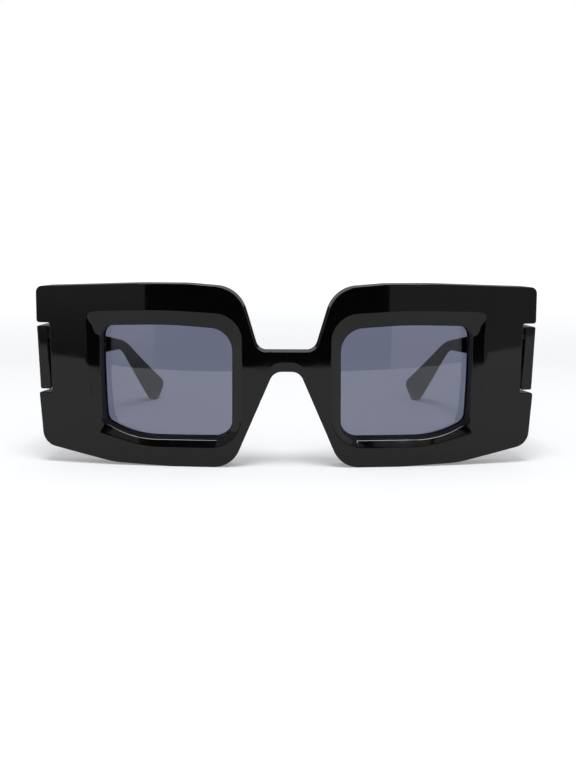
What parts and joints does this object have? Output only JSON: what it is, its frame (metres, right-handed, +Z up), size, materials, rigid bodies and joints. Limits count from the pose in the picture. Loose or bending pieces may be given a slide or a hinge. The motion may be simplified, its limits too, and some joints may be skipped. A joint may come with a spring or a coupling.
{
  "type": "rectangular sunglasses",
  "caption": "Open rectangular sunglasses: thick black acetate front with faceted lens openings and notched sides, smoke lenses and folding temples with bent tips.",
  "frame": {"origin": "on the surface that the open sunglasses stand on, under the middle of their box", "axes": "+X to the right as seen by someone who looks at the front, +Y from the front towards the temple tips, +Z up"},
  "size_m": [0.1502, 0.1448, 0.0545],
  "materials": {
    "black_acetate": "polished",
    "smoke_lens": "clear, tinted",
    "nickel_silver": "tumbled",
    "screw_steel": "turned",
    "core_wire": "drawn"
  },
  "bodies": {
    "front": {"front": "black_acetate", "lens_right": "smoke_lens", "lens_left": "smoke_lens", "nose_pad_right": "black_acetate", "nose_pad_left": "black_acetate", "front_hinge_right": "nickel_silver", "front_hinge_left": "nickel_silver", "hinge_screw_right": "screw_steel", "hinge_screw_left": "screw_steel"},
    "temple_right": {"temple_right": "black_acetate", "temple_hinge_right": "nickel_silver", "core_wire_right": "core_wire"},
    "temple_left": {"temple_left": "black_acetate", "temple_hinge_left": "nickel_silver", "core_wire_left": "core_wire"}
  },
  "joints": [
    {"name": "fold_right", "type": "hinge", "parent": "front", "child": "temple_right", "pos_m": [0.06785, -0.05335, 0.03184], "axis": [0, 0, 1], "range_deg": [0, 78]},
    {"name": "fold_left", "type": "hinge", "parent": "front", "child": "temple_left", "pos_m": [-0.06785, -0.05335, 0.03184], "axis": [0, 0, -1], "range_deg": [0, 83]}
  ]
}
